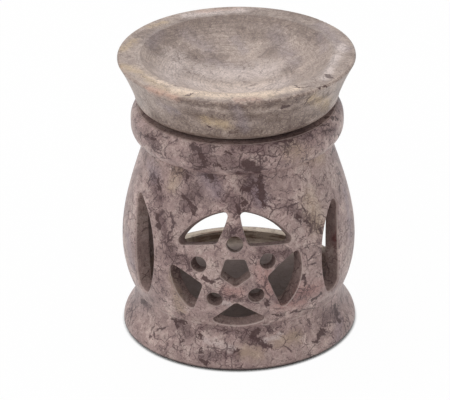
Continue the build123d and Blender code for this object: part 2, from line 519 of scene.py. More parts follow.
    def _marked(self, kind: MarkKind, point: Source) -> Source | None:
        """Joins the listed marks of one kind to one mask.

        Args:
            kind: the kind of mark.
            point: the point that is held against the marks.

        Returns:
            The mask, or None if the piece has no such mark.
        """
        joined = None
        for mark in (m for m in self.marks if m.kind is kind):
            streak = add_node(
                self.tree,
                "ShaderNodeGroup",
                {"Point": point, "Start": mark.start, "End": mark.end, "Radius": mark.radius},
                node_tree=streak_group(),
            )
            if joined is not None:
                either = {0: joined, 1: streak}
                streak = add_node(self.tree, MATH, either, operation="MAXIMUM")
            joined = streak
        return joined

    def _find_dusk_and_shade(self) -> None:
        """Masks the dark zones and the painted shade: listed at the front, left to chance at the
        back.
        """
        tree, pattern = self.tree, self.pattern
        drift = add_node(tree, NOISE, pattern.zones.over(self.bent))
        chance = add_node(tree, RANGE, {"Value": drift, **between(pattern.zone_levels)}, **SMOOTH)
        behind = add_node(tree, RANGE, {"Value": self.away, **between(pattern.zone_back)})
        self.dusk_and_shade = add_node(tree, MATH, {0: chance, 1: behind}, operation="MULTIPLY")
        placed = self._marked(MarkKind.DUSK, self.ragged)
        if placed is not None:
            either = {0: self.dusk_and_shade, 1: placed}
            self.dusk_and_shade = add_node(tree, MATH, either, operation="MAXIMUM")

    def _clouds(self) -> Source:
        """Lays down the broad clouds and the mottling inside them, darker in the dark zones and in
        the painted shade.

        Returns:
            The base colour.
        """
        tree, stone, pattern = self.tree, self.stone, self.pattern
        broad = add_node(tree, NOISE, stone.clouds.over(self.moved))
        mottle = add_node(tree, NOISE, stone.mottle.over(self.bent))
        both = add_node(
            tree, MIX, {0: pattern.mottle_share, 2: broad, 3: mottle}, data_type="FLOAT"
        )
        ramp = add_node(tree, "ShaderNodeValToRGB", {0: both})
        stops = ramp.color_ramp.elements
        stops.new(0.5)
        tones = (stone.deep, stone.middle, stone.pale)
        for stop, place, colour in zip(stops, pattern.cloud_levels, tones):
            stop.position = place
            stop.color = to_linear(colour)
        spread = between(pattern.dusk_levels, pattern.dusk_shares)
        patchy = add_node(tree, RANGE, {"Value": mottle, **spread})
        dim = add_node(tree, MATH, {0: self.dusk_and_shade, 1: patchy}, operation="MULTIPLY")
        return self._lay(ramp, stone.dusk_and_shade, dim, pattern.dusk_share)

    def _fragments(self, colour: Source) -> Source:
        """Gives each fragment between the cracks a tone of its own.

        Args:
            colour: the stone so far.

        Returns:
            The stone with its fragments.
        """
        tree, stone, pattern = self.tree, self.stone, self.pattern
        fragments = (stone.fragment_mm, stone.fragment_tone)
        shards = (
            stone.fragment_mm / pattern.shard_ratio, pattern.shard_tone * stone.fragment_tone
        )
        for cell, tone in (fragments, shards):
            pieces = add_node(tree, VORONOI, {"Vector": self.bent, "Scale": 1 / cell})
            draw = add_node(tree, "ShaderNodeSeparateColor", {0: pieces.outputs["Color"]})
            level = add_node(tree, RANGE, {"Value": draw, "To Min": 1 - tone, "To Max": 1 + tone})
            colour = add_node(tree, VECTOR, {0: colour, "Scale": level}, operation="SCALE")
        return colour

    def _tint(
        self, colour: Source, kind: MarkKind, strength: float, where: Source | None = None
    ) -> Source:
        """Lays one of the tints into the clouds, broken up into patches.

        Args:
            colour: the stone so far.
            kind: which tint.
            strength: how much of it shows at most.
            where: mask that the tint keeps within, or None for the whole piece.

        Returns:
            The tinted stone.
        """
        mask = self._marked(kind, self.ragged)
        if mask is None:
            return colour
        tree, pattern = self.tree, self.pattern
        patchy = add_node(tree, NOISE, pattern.patches.over(self.bent))
        broken = add_node(tree, RANGE, {"Value": patchy, **between(pattern.patch_levels)})
        share = add_node(tree, MATH, {0: mask, 1: broken}, operation="MULTIPLY")
        if where is not None:
            share = add_node(tree, MATH, {0: share, 1: where}, operation="MULTIPLY")
        return self._lay(colour, self.stone.tints[kind], share, strength)

    def _cracks(self) -> Source:
        """Draws the broken networks of healed cracks, thick and thin, and the hand-placed ones.

        Returns:
            The mask of all cracks.
        """
        tree, pattern = self.tree, self.pattern
        joined = self._marked(MarkKind.VEIN, self.ragged)
        for net in self.stone.crackles:
            cells = {"Vector": self.creased, "Scale": 1 / net.cell}
            edge = add_node(tree, VORONOI, cells, feature="DISTANCE_TO_EDGE").outputs["Distance"]
            swell = add_node(tree, NOISE, pattern.swell.over(self.moved, net.cell))
            wide = net.width / net.cell
            widths = between(pattern.swell_levels, (pattern.thin_share * wide, wide))
            width = add_node(tree, RANGE, {"Value": swell, **widths})
            core = add_node(tree, MATH, {0: width, 1: pattern.core_share}, operation="MULTIPLY")
            line = add_node(
                tree, RANGE, {"Value": edge, "From Min": width, "From Max": core}, **SMOOTH
            )
            chance = add_node(tree, NOISE, pattern.stretches.over(self.bent, net.cell))
            lift = {0: self.dusk_and_shade, 1: pattern.crack_lift, 2: chance}
            lifted = add_node(tree, MATH, lift, operation="MULTIPLY_ADD")
            levels = (net.threshold, net.threshold + pattern.crack_fade)
            shown = add_node(
                tree, RANGE, {"Value": lifted, **between(levels, (0.0, net.strength))}, **SMOOTH
            )
            drawn = add_node(tree, MATH, {0: line, 1: shown}, operation="MULTIPLY")
            if joined is not None:
                drawn = add_node(tree, MATH, {0: joined, 1: drawn}, operation="MAXIMUM")
            joined = drawn
        return joined

    def _flakes(self, colour: Source) -> Source:
        """Lays the dark ragged patches over the stone, by chance and listed.

        Args:
            colour: the stone so far.

        Returns:
            The stained stone.
        """
        tree, stone, pattern = self.tree, self.stone, self.pattern
        flakes = add_node(tree, NOISE, pattern.flakes.over(self.bent))
        lifted = add_node(
            tree, MATH, {0: self.dusk_and_shade, 1: pattern.flake_lift, 2: flakes}, operation="MULTIPLY_ADD"
        )
        levels = (stone.flake_threshold, stone.flake_threshold + pattern.flake_fade)
        patches = add_node(
            tree, RANGE, {"Value": lifted, **between(levels, (0.0, pattern.flake_share))}, **SMOOTH
        )
        placed = self._marked(MarkKind.STAIN, self.ragged)
        if placed is not None:
            with_flakes = add_node(
                tree, MATH, {0: flakes, 1: pattern.stain_tear, 2: placed}, operation="MULTIPLY_ADD"
            )
            stained = between(pattern.stain_levels, (0.0, pattern.stain_share))
            torn = add_node(tree, RANGE, {"Value": with_flakes, **stained}, **SMOOTH)
            patches = add_node(tree, MATH, {0: patches, 1: torn}, operation="MAXIMUM")
        return self._lay(colour, stone.stain, patches, 1.0)

    def _grain(self, colour: Source) -> Source:
        """Speckles the stone with pale and dark grains of talc and with dark specks.

        Args:
            colour: the stone so far.

        Returns:
            The speckled stone.
        """
        tree, pattern = self.tree, self.pattern
        grains = add_node(tree, NOISE, pattern.grains.over(self.moved))
        tones = between(pattern.grain_levels, pattern.grain_tones)
        level = add_node(tree, RANGE, {"Value": grains, **tones})
        colour = add_node(tree, VECTOR, {0: colour, "Scale": level}, operation="SCALE")
        specks = add_node(tree, NOISE, pattern.specks.over(self.bent))
        dark = add_node(tree, RANGE, {"Value": specks, **between(pattern.speck_levels)}, **SMOOTH)
        return self._lay(colour, self.stone.vein, dark, pattern.speck_share)

    def _cut_faces(self, colour: Source) -> Source:
        """Darkens the faces that the file left and scratches them up and down.

        Args:
            colour: the stone so far.

        Returns:
            The colour with the cut faces.
        """
        tree, stone, pattern = self.tree, self.stone, self.pattern
        drawn = add_node(
            tree, VECTOR, {0: self.moved, 1: pattern.scratches_per_mm}, operation="MULTIPLY"
        )
        scratches = add_node(tree, NOISE, pattern.scratches.over(drawn))
        tones = between(pattern.scratch_levels, pattern.scratch_tones)
        level = add_node(tree, RANGE, {"Value": scratches, **tones})
        scratched = add_node(tree, VECTOR, {0: colour, "Scale": level}, operation="SCALE")
        scratched = add_node(
            tree, MIX, {0: self.cut, 6: colour, 7: scratched}, data_type="RGBA"
        ).outputs[2]
        filed = self._lay(scratched, stone.cut, self.cut, stone.cut_share)
        return self._lay(filed, stone.inside, self.inside, stone.inside_share)

    def _turned_rings(self, colour: Source) -> Source:
        """Lays the rings that the turning tool left on the inner faces.

        Args:
            colour: the stone so far.

        Returns:
            The colour with the rings.
        """
        tree, stone, pattern = self.tree, self.stone, self.pattern
        turned = add_node(tree, "ShaderNodeCombineXYZ", {0: self.radius, 1: self.height})
        wavy = add_node(
            tree, VECTOR, {0: self.bent, "Scale": pattern.ring_waver}, operation="SCALE"
        )
        place = add_node(tree, VECTOR, {0: turned, 1: wavy}, operation="ADD")
        rings = add_node(tree, NOISE, stone.rings.over(place))
        dark = add_node(tree, RANGE, {"Value": rings, **between(pattern.ring_levels)}, **SMOOTH)
        broken = add_node(tree, NOISE, pattern.worn_off.over(self.moved))
        shown = add_node(tree, RANGE, {"Value": broken, **between(pattern.worn_off_levels)})
        mask = add_node(tree, MATH, {0: dark, 1: shown}, operation="MULTIPLY")
        low = add_node(tree, RANGE, {"Value": self.height, **between(pattern.low_wall_height)})
        deep = add_node(tree, RANGE, {"Value": self.depth, **between(pattern.low_wall_depth)})
        low_wall = add_node(tree, MATH, {0: low, 1: deep}, operation="MULTIPLY")
        walls = add_node(tree, MATH, {0: self.inside, 1: low_wall}, operation="MAXIMUM")
        mask = add_node(tree, MATH, {0: mask, 1: walls}, operation="MULTIPLY")
        heights = between((stone.ring_from, stone.ring_from + pattern.ring_start))
        on_wall = add_node(tree, RANGE, {"Value": self.height, **heights})
        mask = add_node(tree, MATH, {0: mask, 1: on_wall}, operation="MULTIPLY")
        return self._lay(colour, stone.ring, mask, stone.ring_share)

    def _rubbed_and_highlit_edges(self, colour: Source) -> Source:
        """Lightens the softened rims of the openings and the listed rubbed lines: wear, with a
        painted highlight on them.

        Args:
            colour: the stone so far.

        Returns:
            The stone with its rubbed edges.
        """
        tree, stone, pattern = self.tree, self.stone, self.pattern
        rising = add_node(
            tree, RANGE, {"Value": self.depth, **between(pattern.rim_depth)}, **SMOOTH
        )
        falling = add_node(
            tree, RANGE, {"Value": self.depth, **between(pattern.rim_end_depth)}, **SMOOTH
        )
        rim = add_node(tree, MATH, {0: rising, 1: falling}, operation="MULTIPLY")
        colour = self._lay(colour, stone.worn_and_highlight, rim, stone.worn_and_highlight_share)
        worn_and_highlight = self._marked(MarkKind.WORN, self.point)
        if worn_and_highlight is None:
            return colour
        return self._lay(colour, stone.worn_and_highlight, worn_and_highlight, pattern.worn_and_highlight_mark_share)

    def _paint_foot_shade(self, colour: Source, painted_foot_shade: str) -> Source:
        """Paints shade on the lowest edge, where the piece meets the floor.

        Args:
            colour: the stone so far.
            painted_foot_shade: the colour of the painted shade.

        Returns:
            The finished colour.
        """
        top = self.stone.painted_foot_shade_height
        heights = between((top, self.pattern.painted_foot_shade_full * top))
        low = add_node(self.tree, RANGE, {"Value": self.height, **heights}, **SMOOTH)
        return self._lay(colour, painted_foot_shade, low, self.pattern.painted_foot_shade_share)

    def _shade(self, colour: Source, cracks: Source) -> None:
        """Adds the relief and the shader.

        Args:
            colour: the finished colour.
            cracks: mask of the cracks, which the paper leaves a touch lower.
        """
        tree, stone, pattern = self.tree, self.stone, self.pattern
        pits = add_node(tree, NOISE, pattern.pits.over(self.moved))
        lower = add_node(
            tree, MATH, {0: cracks, 1: pattern.crack_relief, 2: pits}, operation="MULTIPLY_ADD"
        )
        heights = {"To Min": pattern.skin_relief * MM, "To Max": pattern.cut_relief * MM}
        relief = add_node(tree, RANGE, {"Value": self.cut, **heights})
        raised = add_node(tree, MATH, {0: lower, 1: relief}, operation="MULTIPLY")
        bump = add_node(
            tree,
            "ShaderNodeBump",
            {"Strength": pattern.relief_share, "Distance": 1.0, "Height": raised},
        )
        ends = {"To Min": stone.skin_roughness, "To Max": stone.cut_roughness}
        dullness = add_node(tree, RANGE, {"Value": self.cut, **ends})
        uneven = add_node(
            tree, MATH, {0: pits, 1: pattern.pit_dullness, 2: dullness}, operation="MULTIPLY_ADD"
        )
        shader = add_node(
            tree,
            "ShaderNodeBsdfPrincipled",
            {
                "Base Color": colour,
                "Roughness": uneven,
                "IOR": stone.ior,
                "Specular IOR Level": stone.specular_level,
                "Normal": bump,
            },
        )
        add_node(tree, "ShaderNodeOutputMaterial", {"Surface": shader})


def read_outline(solid: bpy.types.Object, bearing: float) -> Outline:
    """Reads the turned outline off a CAD solid, on a side where nothing is cut through.

    Args:
        solid: the CAD node.
        bearing: direction from the axis, in degrees from the front.

    Returns:
        Heights and radii in mm, from low to high.
    """
    low, high = (corner.z * PER_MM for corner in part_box(solid.name))
    count = int((high - low) / READING_STEP)
    out = Vector((math.sin(math.radians(bearing)), -math.cos(math.radians(bearing)), 0))
    outline = []
    for i in range(count + 1):
        height = low + READING_EDGE + i * (high - low - 2 * READING_EDGE) / count
        start = out * BESIDE * MM + Vector((0, 0, height * MM))
        hit, place, _, _ = solid.ray_cast(start, -out)
        if hit:
            outline.append((height, place.xy.length * PER_MM))
    return outline


def side_point(outline: Outline, bearing: float, height: float) -> Point:
    """Finds a point on the turned side of a piece.

    Args:
        outline: heights and radii of the side in mm.
        bearing: direction from the axis, in degrees from the front.
        height: its height in mm.

    Returns:
        The point in mm.
    """
    radius = min(outline, key=lambda reading: abs(reading[0] - height))[1]
    angle = math.radians(bearing)
    return radius * math.sin(angle), -radius * math.cos(angle), height


def top_point(solid: bpy.types.Object, bearing: float, distance: float) -> Point:
    """Finds the highest point of a piece at some place.

    Args:
        solid: the CAD node.
        bearing: direction from the axis, in degrees from the front.
        distance: how far from the axis the place is, in mm.

    Returns:
        The point in mm.
    """
    angle = math.radians(bearing)
    above = Vector((distance * math.sin(angle), -distance * math.cos(angle), ABOVE)) * MM
    return tuple(solid.ray_cast(above, Vector((0, 0, -1)))[1] * PER_MM)


def place_marks(streaks: Streaks, find: Callable[[float, float], Point]) -> list[Mark]:
    """Puts streaks on a piece.

    Args:
        streaks: the streaks by kind.
        find: gives the point of the surface at a bearing and a place.

    Returns:
        The marks with their points in mm.
    """
    return [
        Mark(kind, find(*streak[:2]), find(*streak[2:4]), streak[4])
        for kind, group in streaks.items()
        for streak in group
    ]


BODY_STONE = Soapstone(
    name="soapstone_mauve_turned_and_waxed",
    pale="#c7b2aa",
    middle="#a78f8a",
    deep="#88716f",
    # also the painted shade in the waist crease and on the ledge under the dish
    dusk_and_shade="#6c5454",
    vein="#493436",
    stain="#47302f",
    # rubbed stone, and a painted highlight on the rims
    worn_and_highlight="#d0bdb6",
    cut="#6e5d57",
    inside="#9c8f8a",
    ring="#8a7161",
    tints={
        MarkKind.BLUSH: "#ad8079",
        MarkKind.OCHRE: "#ab9579",
        MarkKind.LILAC: "#8c7f8b",
        MarkKind.RUST: "#561f22",
        MarkKind.MILK: "#c8b6b2",
        # painted light on the wall below the doorway's sill
        MarkKind.TAN: "#eddecb",
    },
    cut_share=0.4,
    inside_share=0.6,
    worn_and_highlight_share=0.65,
    ring_share=0.9,
    ring_from=12.6,
    bends=Grain(13.0, 3.0, 0.66),
    clouds=Grain(13.0, 3.0, 0.6),
    mottle=Grain(2.6, 5.0, 0.7),
    rings=Grain(1.0, 2.0, 0.6),
    fragment_mm=5.0,
    fragment_tone=0.11,
    crackles=(
        Crackle(7.0, 0.55, 0.51, 0.85),
        Crackle(3.4, 0.32, 0.47, 0.8),
        Crackle(1.7, 0.22, 0.48, 0.65),
    ),
    flake_threshold=0.625,
    skin_roughness=0.34,
    cut_roughness=0.72,
    # painted shade: a dark line where the foot meets the floor
    painted_foot_shade="#1d1716",
)

DISH_STONE = Soapstone(
    name="soapstone_cream_turned_and_waxed",
    pale="#c2b0a5",
    middle="#aa988e",
    deep="#8c7c77",
    # also the painted shade on the back wall of the bowl
    dusk_and_shade="#6e5b50",
    vein="#55423f",
    stain="#4a3230",
    # rubbed stone, and a painted highlight on the rims
    worn_and_highlight="#cdbba8",
    cut="#d8cac2",
    inside="#d8cac2",
    ring="#6e605b",
    tints={
        MarkKind.BLUSH: "#cc9f8b",
        MarkKind.OCHRE: "#ccb084",
        MarkKind.LILAC: "#8d828c",
        # pale cream, with a painted highlight and sheen at the front of the dish
        MarkKind.CREAM: "#f0d9c4",
        MarkKind.MILK: "#dccdc8",
    },
    cut_share=0.1,
    inside_share=0.07,
    worn_and_highlight_share=0.15,
    ring_share=0.3,
    ring_from=0.0,
    bends=Grain(11.0, 3.0, 0.66),
    clouds=Grain(11.0, 3.0, 0.6),
    mottle=Grain(1.7, 5.0, 0.7),
    rings=Grain(0.5, 2.0, 0.6),
    fragment_mm=3.6,
    fragment_tone=0.07,
    crackles=(
        Crackle(7.0, 0.5, 0.52, 0.55),
        Crackle(2.6, 0.26, 0.45, 0.5),
        Crackle(1.3, 0.17, 0.47, 0.45),
    ),
    flake_threshold=0.66,
    skin_roughness=0.34,
    cut_roughness=0.4,
)

# Read from the photograph: the dark network under the collar, the spots round the star, the
# speckled foot, and where the stone runs pink, yellow or lilac.
BODY_SIDE: Streaks = {
    # The marks at about 13 mm high lie in the waist crease and are painted shade. The others are dark
    # zones of the stone.
    MarkKind.DUSK: (
        (-16, 79.8, -15, 70.4, 6.1), (-1, 76.6, 11.5, 73.4, 6.1), (9, 67.1, 13, 61.8, 7),
        (-21, 76.8, -12, 68.3, 5.4), (-4, 62.8, 2.5, 59.6, 5.4), (-23, 63.6, -29, 58, 5),
        (-5, 28.7, 7, 27, 2.7), (-43.5, 52.3, -33, 42.3, 4.3), (13, 44.2, 26.5, 42.1, 3.8),
        (-4.5, 51.2, 6.5, 49.9, 4.3), (-34, 40.4, -22.5, 39.7, 3.8), (-57, 62, -46, 56.9, 4.3),
        (4.5, 11.1, 12.5, 8.9, 3.4), (-19.5, 13.6, 0, 13.4, 2.7), (4, 13.3, 23.5, 13.9, 2.7),
        (54.5, 10.3, 67, 9.5, 4.3), (-53, 78.3, -47, 76.9, 3.4), (55, 79.9, 66.5, 78, 3.4),
        (31, 57.2, 46, 47.4, 3.8), (-34, 12.8, -25, 10.1, 3.8), (-18, 4.2, -0.5, 5.7, 3.8),
        (-65.5, 12.9, -55.5, 13.8, 3.4), (1, 81.2, 15, 79.8, 3.8), (-37.5, 69.6, -29.5, 67.4, 4.3),
        (22, 25.6, 37.5, 25.4, 4.3),
    ),
    MarkKind.LILAC: (
        (-69.5, 37.1, -65.5, 29.3, 4.7), (80.5, 51.5, 74, 36.9, 4.1), (-62.5, 65.2, -54, 63.7, 4.7),
        (-18.5, 68.8, -11.5, 64.4, 5.1), (12, 66, 15, 61, 4.7), (55.5, 0.7, 66.5, 6.7, 4.1),
    ),
    MarkKind.OCHRE: (
        (44.5, 57.3, 46.5, 48.4, 6.7), (31, 78.3, 62.5, 68.8, 5.7), (4, 6.3, 10.5, 5.4, 4.3),
        (22, 8.3, 33, 8.4, 4.3), (-37, 68.4, -39.5, 63, 4.3), (-31, 33.7, -30, 19.8, 3.8),
    ),
    MarkKind.BLUSH: (
        (32.5, 26.9, 44, 25.8, 5.7), (22, 23, 36.5, 21.9, 4.1), (13, 38, 16.5, 30.2, 4.7),
        (-5, 31, 2, 30.3, 3.6),
    ),
    MarkKind.MILK: (
        (-8.5, 26.9, 3, 23.4, 1.7), (-17, 9.5, -2, 7.3, 2.1), (12.5, 8.9, 25, 10.3, 1.7),
    ),
    # Painted light: the inner wall below the doorway's sill is painted pale where light falls on it
    # through the doorway.
    MarkKind.TAN: (
        (132, 15, 156, 15, 10), (156, 15, 180, 15, 10), (-180, 15, -156, 15, 10),
        (-156, 15, -132, 15, 10),
    ),
    MarkKind.RUST: (
        (56.5, 42.8, 60, 39.5, 4.8), (61, 39.3, 64, 35.6, 4.1),
    ),
    MarkKind.STAIN: (
        (-23, 80.4, -19, 79.2, 2.4), (-18, 78.7, -15.5, 75.5, 2.4), (-22, 72.5, -12, 75.4, 1.7),
        (-18.5, 70.6, -14, 68.5, 1.7), (6, 76.1, 7.5, 73.8, 2.9), (8.5, 76, 13, 72, 2.4),
        (2, 72.1, 14.5, 70.6, 1.5), (15, 67.8, 15.5, 61.7, 2.4), (3.5, 65.4, 8.5, 64.6, 1.7),
        (-32, 71, -29.5, 67.1, 2.4), (-51, 62.2, -48, 60.5, 2), (-46, 52.2, -43, 48.3, 2),
        (-29.5, 60.3, -23.5, 58, 1.7), (-23.5, 56.5, -22.5, 55.6, 1.7), (0.5, 59.3, 1.5, 57.7, 2.4),
        (35, 54, 36, 52.8, 2), (39, 50.9, 39.5, 50.5, 1.7), (47.5, 46.8, 47.5, 45.7, 1.7),
        (-15.5, 34.8, -11.5, 33.6, 1.5), (42.5, 21.7, 47, 22.5, 1.7), (15, 26, 15.5, 24.4, 1.7),
        (30, 18.9, 34, 18, 1.5), (20, 19.4, 23, 18.4, 1.2), (15.5, 60.1, 16.5, 59, 1.5),
        (-5, 80, -1, 79.4, 1.2), (-8.5, 74.9, -5, 73.9, 1.2), (5, 62.1, 6, 59.6, 1.7),
        (-57, 78.1, -48, 78.9, 1.7), (34, 32.8, 35.5, 29.5, 1.5), (-36.5, 13.6, -29.5, 14.3, 2),
        (-35, 12.9, -34, 11.9, 1.5), (-21, 11.4, -18.5, 9.3, 1.5), (8.5, 10.9, 11, 12.8, 2.4),
        (9.5, 10.1, 15, 7.7, 2), (16, 7.6, 20, 6.2, 1.5), (48.5, 6.7, 50.5, 6.5, 2),
        (43.5, 5, 47, 5.9, 1.7), (66, 11.1, 66.5, 6.7, 2.4), (-68.5, 12.3, -62, 14.4, 1.7),
        (-17.5, 3.1, -15, 2.2, 1.5), (-10.5, 3.4, -9, 3.5, 1.2), (-2, 5.7, 1.5, 7.3, 1),
        (-19, 6.9, -18, 5.7, 1), (-30.5, 7.3, -29, 7.6, 1), (55.5, 4.6, 55.5, 4.2, 1),
    ),
    MarkKind.VEIN: (
        (13, 76.1, 16.5, 76.6, 0.7), (16.5, 76.6, 19, 78, 0.7), (19, 78, 20, 80.4, 0.7),
        (20, 80.4, 24, 81.3, 0.7), (6.5, 70.6, 9.5, 66.5, 0.5), (-11, 70.9, -9, 63.3, 0.7),
        (-48, 60.5, -44.5, 58.5, 0.7), (-44.5, 58.5, -39.5, 58.4, 0.5), (-57, 55.5, -50, 53.4, 0.5),
        (-50, 53.4, -46, 52.2, 0.5), (-43, 48, -38.5, 45.8, 0.5), (20.5, 61.3, 28.5, 59.5, 0.7),
        (28.5, 59.5, 33, 57.9, 0.7), (-40, 21.7, -32, 20.6, 0.5), (-49.5, 17.1, -44, 16, 0.5),
        (15.5, 44.7, 27, 42.7, 0.5), (-45, 79.2, -43, 77, 0.5), (-47, 78.8, -45, 76.9, 0.5),
        (-67, 68.8, -55, 67.9, 0.5), (-60.5, 63.3, -51, 61.9, 0.5), (56.5, 61.9, 58, 59.1, 0.5),
        (-30, 60.5, -34.5, 61.5, 0.5), (-23.5, 58, -27, 56, 0.5), (-19.5, 61.9, -23, 62.6, 0.7),
        (26.5, 63.3, 39.5, 61.5, 0.5), (34, 46.4, 36, 46.1, 0.5), (38.5, 38.5, 45, 37.7, 0.5),
        (5, 40.8, 7, 40.4, 0.7), (-9.5, 40.3, -9, 39.6, 0.7), (3, 72, -2.5, 71.4, 0.5),
        (-35, 11.7, -31.5, 7.8, 0.5), (-31.5, 7.8, -29, 4.3, 0.5), (-4.5, 12.5, -7, 7.8, 0.4),
    ),
    # A pale rubbed line along the waist, with a painted highlight on its ridge.
    MarkKind.WORN: (
        (-78, 15.2, -60, 15.2, 0.7), (-60, 15.2, -40, 15.2, 0.7), (-38, 15.2, -20, 15.2, 0.6),
        (14, 15.2, 34, 15.2, 0.6), (36, 15.2, 58, 15.2, 0.7), (58, 15.2, 76, 15.2, 0.6),
    ),
}

BODY_LEDGE: Streaks = {
    # Painted shade on the ledge, where the dish overhangs it.
    MarkKind.DUSK: ((14, 32, 44, 33, 8),),
    MarkKind.STAIN: (
        (36, 33, 46, 33.5, 1.5), (67, 32.6, 73.5, 35.2, 1.5), (25, 33.7, 32.5, 34.6, 1.2),
        (55.5, 33.3, 62.5, 34.5, 1.3),
    ),
}

DISH_SIDE: Streaks = {
    MarkKind.DUSK: (
        (-50, 86, -10, 85, 6), (0, 87, 40, 86, 6), (20, 91, 60, 88, 5), (-26, 98.5, -4, 98.5, 2.5),
        (-4, 98, 16, 98, 3.5), (16, 98, 38, 98, 3.5), (-24, 93.5, 8, 93.5, 4.5),
        (8, 93.5, 36, 93.5, 3.5), (36, 94.5, 56, 94.5, 2.5), (-30, 89, 30, 89, 5),
    ),
    MarkKind.LILAC: (
        (1, 97.6, 6, 88.5, 3.6), (-40.5, 93.6, -31.5, 92.5, 3.2),
    ),
    MarkKind.OCHRE: (
        (41, 96.6, 60, 88.7, 3.8), (-15, 91.4, -4.5, 89.8, 3.8),
    ),
    MarkKind.STAIN: (
        (24.5, 96, 27, 95.6, 1.2), (-13.5, 88.9, -12.5, 88.5, 0.8), (30, 98.6, 31.5, 97.8, 0.8),
        (37.5, 94.8, 39, 97.1, 0.8),
    ),
}

DISH_TOP: Streaks = {
    # Painted shade on the back wall of the bowl.
    MarkKind.DUSK: (
        (-118, 31.5, -145, 31.5, 6), (-145, 31.8, -170, 31.8, 7), (-170, 31.8, 165, 31.8, 7),
        (165, 31.5, 140, 31.5, 6), (140, 31.5, 115, 31.5, 6), (178, 27, 150, 27, 6),
    ),
    MarkKind.LILAC: (
        (130, 36.4, 94, 36.4, 4.1), (-141, 29, -151.5, 21.5, 4.7), (153, 27.6, 111, 20.9, 5.1),
        (-177, 24.5, 173.5, 19.7, 3.2), (-124, 32, -107, 30.8, 3.6), (-146, 16.9, 175.5, 10.2, 3.6),
        (119, 31.9, 102.5, 30.3, 3.2),
    ),
    MarkKind.OCHRE: (
        (-74, 38.9, -63.5, 35.1, 3.8), (-57.5, 34.9, -42, 36.2, 3.8), (-37, 37.5, -23, 36.7, 3.4),
        (-18.5, 34.8, 19.5, 35.8, 3.8), (-93.5, 38.6, -107, 36.2, 2.9),
        (-126, 37.1, -136, 36.2, 2.4),
    ),
    MarkKind.BLUSH: (
        (-44.5, 39.4, -29, 39.6, 3.2), (-159, 37.2, 179.5, 37.3, 2.5), (2, 37.5, 12, 37.5, 3),
    ),
    # Pale stone at the front of the rim and the bowl, brightened as a painted highlight and sheen.
    MarkKind.CREAM: (
        (-60, 9, 60, 9, 9), (-54, 34, -34, 34, 1.8), (-32, 35, -8, 34.5, 5), (-8, 34, 20, 34, 5.5),
        (20, 34.5, 36, 35, 3.5),
    ),
    MarkKind.MILK: (
        (-117, 15, 129, 13, 9), (-74, 14.5, 74, 14.5, 9), (-115, 22, -70, 24, 9),
        (178, 36.5, -150, 36.5, 3.5), (100, 36, 55, 36, 3),
    ),
    MarkKind.STAIN: (
        (59, 34.9, 57.5, 37.6, 1.7), (-24.5, 37.2, -22.5, 35.7, 1.2), (37, 33.5, 39, 36.3, 1.4),
        (40.5, 36.1, 43, 36.6, 1), (45, 39.2, 48.5, 39.6, 1),
    ),
}


@dataclass
class BurnerBody:
    """The turned and pierced body: foot, waist, belly, neck and collar in one stone."""

    node: str = "burner_body"
    slot: str = "body_stone"
    seed: float = 31.0  # moves the patterns, in mm
    plain_side: float = 100.0  # bearing between a crescent and the doorway, where the skin is whole

    def dress(self, frame: dict[str, Any]) -> None:
        """Gives the CAD node its stone.
        """
        solid = frame["nodes"][self.node]
        outline = read_outline(solid, self.plain_side)
        marks = place_marks(BODY_SIDE, partial(side_point, outline))
        marks += place_marks(BODY_LEDGE, partial(top_point, solid))
        put_material(solid, StoneSurface(BODY_STONE, outline, marks, self.seed).make())
        LOG.info("burner body: %d readings of its outline, %d marks", len(outline), len(marks))


@dataclass
class OilDish:
    """The loose dish that sits in the collar."""

    node: str = "oil_dish"
    slot: str = "dish_stone"
    seed: float = 77.0  # moves the patterns, in mm
    plain_side: float = 0.0  # its skin is whole all round

    def dress(self, frame: dict[str, Any]) -> None:
        """Gives the CAD node its stone.
        """
        solid = frame["nodes"][self.node]
        outline = read_outline(solid, self.plain_side)
        marks = place_marks(DISH_SIDE, partial(side_point, outline))
        marks += place_marks(DISH_TOP, partial(top_point, solid))
        put_material(solid, StoneSurface(DISH_STONE, outline, marks, self.seed).make())
        LOG.info("oil dish: %d readings of its outline, %d marks", len(outline), len(marks))


def put_material(solid: bpy.types.Object, material: bpy.types.Material) -> None:
    """Puts one material in every slot of a solid.

    Args:
        solid: the CAD node.
        material: its stone.
    """
    if not solid.material_slots:
        solid.data.materials.append(material)
    for slot in solid.material_slots:
        slot.material = material


@dataclass(frozen=True)
class Softbox:
    """A square lamp that faces the burner. Lengths in metres."""

    name: str
    place: Point
    side: float
    watts: float


SOFTBOXES = (
    Softbox("softbox_overhead", (-0.3, 0.35, 1.4), 1.2, 9.0),
    Softbox("softbox_front_left", (-0.9, -0.95, 0.8), 1.0, 5.0),
    Softbox("softbox_right", (1.1, -0.6, 0.7), 0.9, 2.0),
)


